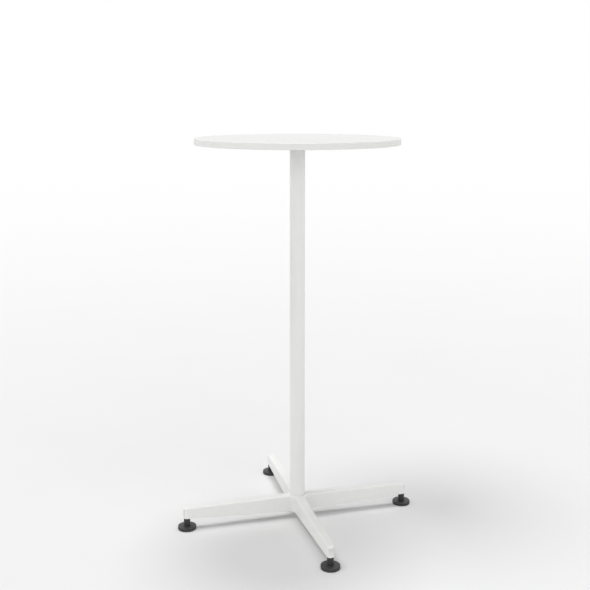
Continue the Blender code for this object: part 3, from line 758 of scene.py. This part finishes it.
# %% Bolt and washer
BOLT_COLUMNS = 240
KNURL_COUNT, KNURL_DEPTH = 48, 0.00018
SOCKET_HALF_WIDTH, SOCKET_DEPTH = 0.005, 0.006
SOCKET_CHAMFER, SOCKET_CONE = 0.0004, 0.0012
SIXTH = math.pi / 3
BOLT_PITCH = 0.00175
BOLT_CHAMFER = 0.0009
BOLT_PLAIN_LENGTH = 0.011
KNURL_GAP = 0.00135
SCREW_RUN_OUT = 0.001
WASHER_COLUMNS = 96
WASHER_EDGE_RADIUS = 0.0003

bolt_radius, bolt_bottom, bolt_top = sizes("base_bolt")
bolt_seat = washer_low - FIT
bolt_angle = np.arange(BOLT_COLUMNS) / BOLT_COLUMNS * math.tau
hexagon = SOCKET_HALF_WIDTH / np.cos((bolt_angle + SIXTH / 2) % SIXTH - SIXTH / 2)
knurled = bolt_radius - KNURL_DEPTH * (1 - np.cos(bolt_angle * KNURL_COUNT)) / 2


def radial(radius, height):
    """One row: the radius at each angle, all at one height."""
    plan = circle(BOLT_COLUMNS) * np.broadcast_to(radius, bolt_angle.shape)[:, None]
    return np.hstack([plan, np.full((BOLT_COLUMNS, 1), height)])[None]


shank = CLAMP_BOLT_DIAMETER / 2
thread_start = bolt_seat + BOLT_PLAIN_LENGTH + SCREW_RUN_OUT
bolt_rows = np.concatenate([
    radial(0, bolt_top),
    radial(shank - BOLT_CHAMFER, bolt_top),
    thread_rows(shank, BOLT_PITCH, thread_start, bolt_top - BOLT_CHAMFER / 2, count=BOLT_COLUMNS),
    radial(shank, bolt_seat + BOLT_PLAIN_LENGTH),
    radial(shank, bolt_seat),
    radial(bolt_radius - BOLT_CHAMFER / 2, bolt_seat),
    radial(knurled, bolt_seat - BOLT_CHAMFER / 2),
    radial(knurled, bolt_bottom + KNURL_GAP),
    radial(bolt_radius - KNURL_DEPTH, bolt_bottom + BOLT_CHAMFER),
    radial(bolt_radius - BOLT_CHAMFER, bolt_bottom),
    radial(hexagon + SOCKET_CHAMFER, bolt_bottom),
    radial(hexagon, bolt_bottom + SOCKET_CHAMFER),
    radial(hexagon, bolt_bottom + SOCKET_DEPTH),
    radial(0, bolt_bottom + SOCKET_DEPTH + SOCKET_CONE),
])
clamp_bolt = solid("clamp_bolt", mesh_of("clamp_bolt", bolt_rows), "base_bolt")

washer_corners = oblong(CLAMP_BOLT_DIAMETER / 2 + FIT, washer_radius, washer_low, washer_high)
washer_section = softened(washer_corners, WASHER_EDGE_RADIUS, steps=4, closed=True)
washer_mesh = mesh_of("clamp_washer", turned(washer_section, WASHER_COLUMNS), closed=True)
washer = solid("clamp_washer", washer_mesh, "base_washer")

# %% [markdown]
# ## The wood screws
# Eight pan-head screws hold the plate to the board, with their heads below. The head is a low
# dome with a cross recess. The recess is not cut: the dome's surface is a height over each point,
# and near the two lines x = 0 and y = 0 of the cross that height goes up into the head, deepest at
# the middle.

# %% Screws
SCREW_COLUMNS = 48
SCREW_PITCH = 0.0018
SCREW_POINT, SCREW_POINT_SHARE = 0.003, 0.45
HEAD_RINGS = 18
HEAD_RISE = 0.0014
CROSS_REACH, CROSS_WIDTH, CROSS_DEPTH = 0.0024, 0.0009, 0.0016
CROSS_SIDE = 0.00045
CROSS_FALL = 0.0015

screw_head, screw_low, screw_high = sizes("wood_screw_1")
screw_shank = SCREW_DIAMETER / 2
screw_neck = plate_low - FIT
screw_tip = screw_high - SCREW_POINT


def screw_rows(centre):
    """The rows of one screw: its point, its thread, the underside of its head and the face. With r
    from 1 at the rim to 0, the face is a dome that rises HEAD_RISE * r ** 4 above its lowest
    level, plus the cross: CROSS_DEPTH, less towards the cross's sides and its four ends."""
    point = turned([(0, screw_high), (screw_shank * SCREW_POINT_SHARE, screw_tip)], SCREW_COLUMNS)
    thread = thread_rows(screw_shank, SCREW_PITCH, screw_neck, screw_tip, count=SCREW_COLUMNS)
    neck = turned([(screw_shank, screw_neck), (screw_head, screw_neck)], SCREW_COLUMNS)
    rings = np.linspace(1, 0, HEAD_RINGS)[:, None]
    plan = rings[..., None] * screw_head * circle(SCREW_COLUMNS)
    dome = screw_low + HEAD_RISE * rings**4
    from_line, from_middle = np.abs(plan).min(axis=2), np.linalg.norm(plan, axis=2)
    side = np.clip((CROSS_WIDTH / 2 + CROSS_SIDE / 2 - from_line) / CROSS_SIDE, 0, 1)
    end = np.clip((CROSS_REACH - from_middle) / CROSS_FALL, 0, 1)
    face = np.concatenate([plan, (dome + CROSS_DEPTH * side * end)[..., None]], axis=2)
    return np.concatenate([point, thread, neck, face]) + np.array([*centre, 0.0])


screws = []
for number, centre in screw_places.items():
    name = f"plate_screw_{number}"
    screws.append(solid(name, mesh_of(name, screw_rows(centre)), f"wood_screw_{number}"))

# %% [markdown]
# ## The levelling feet
# Under each tip stands a black foot: a round disc with a soft upper edge, a rubber sole let into
# it, and a sleeve round the steel stud. The stud's thread shows when the foot is wound out. The
# disc and the sole slide down with the foot's body; the stud and the sleeve also turn.

# %% Sections of a foot
DISC_RIM_HEIGHT = 0.0092
DISC_NECK_RADIUS = 0.0196 / 2
DISC_EDGE_RADIUS = 0.0012
SMALL_EDGE_RADIUS = 0.0008
FINE_EDGE_RADIUS = 0.0004
SOLE_THICKNESS = 0.0024
STUD_RADIUS = 0.008 / 2
STUD_HEAD_TOP = 0.0070
stud_hole = STUD_RADIUS + FIT


def disc_section(name):
    """A foot's disc: a cone from its neck to its rim, hollowed below for the sole and for the
    stud's round head."""
    radius, low, high = sizes(f"foot_disc_{name}")
    sole_edge, sole_top = sizes(f"foot_sole_{name}")[0] + FIT, SOLE_THICKNESS + FIT
    head_edge, head_top = sizes(f"foot_stud_{name}")[0] + FIT, STUD_HEAD_TOP + FIT
    outside = [(stud_hole, high), (DISC_NECK_RADIUS, high), (radius, DISC_RIM_HEIGHT), (radius, low)]
    underside = [(sole_edge, low), (sole_edge, sole_top), (head_edge, sole_top)]
    chamber = [(head_edge, head_top), (stud_hole, head_top)]
    radii = [0, SMALL_EDGE_RADIUS, DISC_EDGE_RADIUS, SMALL_EDGE_RADIUS, FINE_EDGE_RADIUS, 0, 0, 0, 0]
    return softened([*outside, *underside, *chamber], radii, closed=True)


def sole_section(name):
    """A sole: a flat disc with a finer edge above than below."""
    corners = oblong(0, *sizes(f"foot_sole_{name}"))
    return softened(corners, [FINE_EDGE_RADIUS / 2, FINE_EDGE_RADIUS])


def sleeve_section(name):
    """A sleeve: a ring whose outer corners are rounded."""
    radii = [0, SMALL_EDGE_RADIUS, FINE_EDGE_RADIUS, 0]
    return softened(oblong(stud_hole, *sizes(f"foot_collar_{name}")), radii, closed=True)


def insert_section(name):
    """An insert: a ring whose corners are rounded."""
    radii = [0, FINE_EDGE_RADIUS, FINE_EDGE_RADIUS, FINE_EDGE_RADIUS]
    return softened(oblong(stud_hole, *sizes(f"arm_insert_{name}")), radii, steps=4, closed=True)


print("disc section", len(disc_section("right")), "points")

# %% [markdown]
# ## The levelling feet: studs
# The stud is an M8 screw with a flat round head that is held in the disc. Its thread starts a
# little above the head and ends in a small chamfer.

# %% Studs
STUD_PITCH = 0.00125
STUD_CHAMFER = 0.001
STUD_PLAIN_LENGTH, STUD_RUN_OUT = 0.0015, 0.0005


def stud_rows(name, centre):
    """The rows of one stud, from the middle of its top down to the middle of its head."""
    head_radius, low, high = sizes(f"foot_stud_{name}")
    plain_top = STUD_HEAD_TOP + STUD_PLAIN_LENGTH
    thread_low, thread_high = plain_top + STUD_RUN_OUT, high - STUD_CHAMFER / 2
    thread = thread_rows(STUD_RADIUS, STUD_PITCH, thread_low, thread_high, centre)
    end = turned([(0, high), (STUD_RADIUS - STUD_CHAMFER, high)], THREAD_COLUMNS, centre=centre)
    neck = [(STUD_RADIUS, plain_top), (STUD_RADIUS, STUD_HEAD_TOP), (head_radius, STUD_HEAD_TOP)]
    head = softened([*neck, (head_radius, low), (0, low)], [0, FINE_EDGE_RADIUS, FINE_EDGE_RADIUS])
    return np.concatenate([end, thread, turned(head, THREAD_COLUMNS, centre=centre)])


print("stud", len(stud_rows("right", foot_centres["right"])), "rows")

# %% [markdown]
# ## The levelling feet: all four
# Each foot is the same five pieces at its own place. The disc and the sole belong to the body
# that slides, the stud and its sleeve to the one that also turns, and the insert to the table.

# %% Feet
FOOT_COLUMNS = 96

discs, soles, sleeves, studs, inserts = [], [], [], [], []
for name, centre in foot_centres.items():
    turned_pieces = [
        (discs, "glide_disc", disc_section, "foot_disc", f"foot_{name}", True),
        (soles, "glide_sole", sole_section, "foot_sole", f"foot_{name}", False),
        (sleeves, "glide_sleeve", sleeve_section, "foot_collar", f"stud_{name}", True),
        (inserts, "tip_insert", insert_section, "arm_insert", "table", True),
    ]
    for made, label, section, node, body, closed in turned_pieces:
        rows = turned(section(name), FOOT_COLUMNS, centre=centre)
        made.append(solid(f"{label}_{name}", mesh_of(label, rows, closed), f"{node}_{name}", body))
    stud_mesh = mesh_of("glide_stud", stud_rows(name, centre))
    studs.append(solid(f"glide_stud_{name}", stud_mesh, f"foot_stud_{name}", f"stud_{name}"))

# %% [markdown]
# ## The floor under the lowest foot
# A foot that is screwed out ends lower than the other three. A real table would rise and lean with
# it. Here the table stays where it is and the floor gives way instead: one Floor constraint for
# each sole keeps the floor from standing higher than that sole, so no foot sinks into it.

# %% Floor under the feet
for sole in soles:
    under = floor.constraints.new("FLOOR")
    under.target = sole
    under.floor_location = "FLOOR_NEGATIVE_Z"
print("the floor stays under", len(soles), "soles")

# %% [markdown]
# ## Finishes
# Each finish starts from what the real one is and how its surface was made. All of them are made
# of nodes that read object coordinates, in metres, so a pattern's scale is one over its real size.
# The base is always the Principled shader: what is the same all over is written on its sockets,
# and only what changes over the surface is linked. Roughness and relief follow one fine pattern on
# each of them, so one function makes both from it and coats the pieces.

# %% Coat a piece with a finish
def coat(material, pieces, colour, pattern, rough, bump, peak=1.0, height=None):
    """The colour linked to the shader, with a roughness that runs between two values as the pattern
    goes from 0 to its peak, and a relief of the pattern, or of a height, with a strength and a depth
    in metres. Then the pieces coated."""
    tree = material.node_tree
    spread = {"Value": pattern, "From Max": peak, "To Min": rough[0], "To Max": rough[1]}
    raised = {"Height": height or pattern, "Strength": bump[0], "Distance": bump[1]}
    finish = {"Roughness": add(tree, "MapRange", spread), "Normal": add(tree, "Bump", raised)}
    varying = {"Base Color": colour, **finish}
    fill(tree, tree.nodes["Principled BSDF"], varying)
    for piece in pieces:
        piece.data.materials.clear()
        piece.data.materials.append(material)
    print(material.name, "on", len(pieces), "pieces")


# %% [markdown]
# ## White melamine on the board
# The board's faces are paper soaked in melamine resin, pressed hot against a steel plate with a
# fine pearl grain. The resin is hard and satin, and the grain breaks up its reflections. The real
# pearls are about 0.5 mm wide. They are drawn 2 mm wide here, because finer ones would vanish
# between the pixels. A very faint cloud in the colour is the paper showing through.

# %% Melamine
PEARL_WIDTH, CLOUD_WIDTH = 0.002, 0.09

melamine, tree, place = start("white melamine paper laminate", {"IOR": 1.5})
grained = {"Vector": place, "Scale": 1 / PEARL_WIDTH, "Smoothness": 0.6}
pearls = add(tree, "TexVoronoi", grained, feature="SMOOTH_F1")
cloud = add(tree, "TexNoise", {"Vector": place, "Scale": 1 / CLOUD_WIDTH, "Detail": 3.0})
shade = add(tree, "MixRGB", {"Fac": cloud, **tones("#dbdbd9", "#dfdfdd")})
coat(melamine, [board], shade, pearls, rough=(0.38, 0.48), bump=(0.5, 0.00002), peak=0.8)

# %% [markdown]
# ## ABS on the edge band
# The band is white ABS, squeezed out through a slot as an endless strip. That leaves fine lines
# along its length, and along the rim they lie level. A noise does this when it is stretched: it
# changes slowly along x and y, and fast up and down. The real lines are about 0.1 mm apart and are
# drawn 0.6 mm apart.

# %% Edge band
DRAWN_LENGTH, DRAWN_WIDTH = 0.06, 0.0006

abs_band, tree, place = start("extruded ABS edge band", {"IOR": 1.54})
density = (1 / DRAWN_LENGTH, 1 / DRAWN_LENGTH, 1 / DRAWN_WIDTH)
stretched = add(tree, "Mapping", {"Vector": place, "Scale": density})
lines = add(tree, "TexNoise", {"Vector": stretched, "Scale": 1.0, "Detail": 2.0})
shade = add(tree, "MixRGB", {"Fac": lines, **tones("#e3e3e1", "#e7e7e5")})
coat(abs_band, [band], shade, lines, rough=(0.34, 0.46), bump=(0.4, 0.00001))

# %% [markdown]
# ## Powder coat on the column
# The column is sprayed with dry polyester powder, which melts in an oven and flows out. It never
# flows out quite flat: the skin keeps low ripples a few millimetres wide, the orange peel. They
# hardly show from afar and give the reflections their soft, uneven edge close up.

# %% Powder coat on steel
PEEL_WIDTH, FILM_WIDTH = 0.003, 0.045

tube_coat, tree, place = start("white powder coat on steel tube", {"IOR": 1.5})
ripple = {"Vector": place, "Scale": 1 / PEEL_WIDTH, "Detail": 1.5, "Roughness": 0.4}
peel = add(tree, "TexNoise", ripple)
film = add(tree, "TexNoise", {"Vector": place, "Scale": 1 / FILM_WIDTH, "Detail": 2.0})
shade = add(tree, "MixRGB", {"Fac": film, **tones("#e6e6e4", "#eaeae8")})
coat(tube_coat, [column], shade, peel, rough=(0.36, 0.46), bump=(0.6, 0.00006))

# %% [markdown]
# ## Powder coat on the casting
# The base gets the same powder, but over a cast skin that was blasted first. So under the fine
# orange peel there is a wider, lower unevenness, about 14 mm across, where the metal shrank in the
# mould. Deep in the hollows the colour is painted greyer, the more the deeper the point lies, which
# the stored share tells: this is painted shade, along with the powder that lies thin there.

# %% Powder coat on the casting
SKIN_WIDTH, SKIN_SHARE = 0.014, 2.5

cast_coat, tree, place = start("white powder coat on cast aluminium", {"IOR": 1.5})
ripple = {"Vector": place, "Scale": 1 / PEEL_WIDTH, "Detail": 1.5, "Roughness": 0.4}
peel = add(tree, "TexNoise", ripple)
skin = add(tree, "TexNoise", {"Vector": place, "Scale": 1 / SKIN_WIDTH, "Detail": 1.0})
full = add(tree, "MixRGB", {"Fac": skin, **tones("#e9e9e7", "#ededeb")})
depth = add(tree, "Attribute", attribute_name=HOLLOW_SHARE).outputs["Fac"]
# painted shade in the hollows, along with thin powder: greyer the deeper the point lies
thin_powder_and_shade = add(tree, "MapRange", {"Value": depth, "To Max": 0.55})
shade = add(tree, "MixRGB", {"Fac": thin_powder_and_shade, "Color1": full, "Color2": linear("#b9bab9")})
height = add(tree, "Math", {0: skin, 1: SKIN_SHARE, 2: peel}, operation="MULTIPLY_ADD")
coat(cast_coat, [star], shade, peel, rough=(0.38, 0.5), bump=(0.6, 0.00006), height=height)

# %% [markdown]
# ## Zinc plate on the steel parts
# The plate, bolts, screws and studs are steel with a thin bright coat of zinc, passivated so that
# it keeps. The passivated film shows faint cool and warm patches, and the metal under it is
# neither polished nor rough. A metal's colour is the colour of its reflections, and its IOR stays
# at the default.

# %% Zinc
PATCH_WIDTH, GRAIN_WIDTH = 0.012, 0.0008

zinc, tree, place = start("zinc-plated steel", {"Metallic": 1.0})
patches = add(tree, "TexNoise", {"Vector": place, "Scale": 1 / PATCH_WIDTH, "Detail": 4.0})
grain = add(tree, "TexNoise", {"Vector": place, "Scale": 1 / GRAIN_WIDTH, "Detail": 2.0})
tint = add(tree, "MixRGB", {"Fac": patches, **tones("#c3c8cf", "#d0ccc0")})
hidden = ["top_plug", "bottom_plug", *(f"plate_bolt_{number}" for number in bolt_places)]
kept = [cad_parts[node] for node in hidden]
plated = [plate, clamp_bolt, washer, *screws, *studs, *kept]
coat(zinc, plated, tint, grain, rough=(0.24, 0.42), bump=(0.4, 0.00001))

# %% [markdown]
# ## Brass inserts
# The threaded inserts in the tips are turned from brass rod. The tool leaves rings round the
# axis, so the noise is stretched level, as on the edge band. The rings are drawn 0.3 mm apart.

# %% Brass
TURNED_LENGTH, TURNED_WIDTH = 0.02, 0.0003

brass, tree, place = start("turned brass", {"Metallic": 1.0})
density = (1 / TURNED_LENGTH, 1 / TURNED_LENGTH, 1 / TURNED_WIDTH)
stretched = add(tree, "Mapping", {"Vector": place, "Scale": density})
rings = add(tree, "TexNoise", {"Vector": stretched, "Scale": 1.0, "Detail": 1.0})
tint = add(tree, "MixRGB", {"Fac": rings, **tones("#c9a45c", "#d8b673")})
coat(brass, inserts, tint, rings, rough=(0.22, 0.38), bump=(0.5, 0.00001))

# %% [markdown]
# ## Black nylon on the feet
# The discs and sleeves are moulded in black nylon. The steel mould was roughened by sparks, and
# the plastic takes that fine grain from it, so it is matt, with a dull sheen where the white room
# glances off it. The real grain is 0.2 mm and is drawn 0.9 mm wide.

# %% Black nylon
SPARK_WIDTH, FLOW_WIDTH = 0.0009, 0.018

nylon, tree, place = start("moulded black nylon", {"IOR": 1.53})
sparks = {"Vector": place, "Scale": 1 / SPARK_WIDTH, "Detail": 3.0, "Roughness": 0.6}
grain = add(tree, "TexNoise", sparks)
flow = add(tree, "TexNoise", {"Vector": place, "Scale": 1 / FLOW_WIDTH, "Detail": 2.0})
shade = add(tree, "MixRGB", {"Fac": flow, **tones("#272727", "#2e2e2e")})
coat(nylon, discs + sleeves, shade, grain, rough=(0.42, 0.6), bump=(0.6, 0.00003))

# %% [markdown]
# ## Rubber soles
# The soles are dark grey rubber, cut from sheet. Rubber has almost no shine, and a dusty bloom
# of wax comes out of it in soft pale patches.

# %% Rubber
BLOOM_WIDTH = 0.007

rubber, tree, place = start("dark rubber sheet", {"IOR": 1.52, "Specular IOR Level": 0.35})
bloom = add(tree, "TexNoise", {"Vector": place, "Scale": 1 / BLOOM_WIDTH, "Detail": 4.0})
shade = add(tree, "MixRGB", {"Fac": bloom, **tones("#2a2a29", "#3b3a38")})
coat(rubber, soles, shade, bloom, rough=(0.7, 0.9), bump=(0.5, 0.00005))
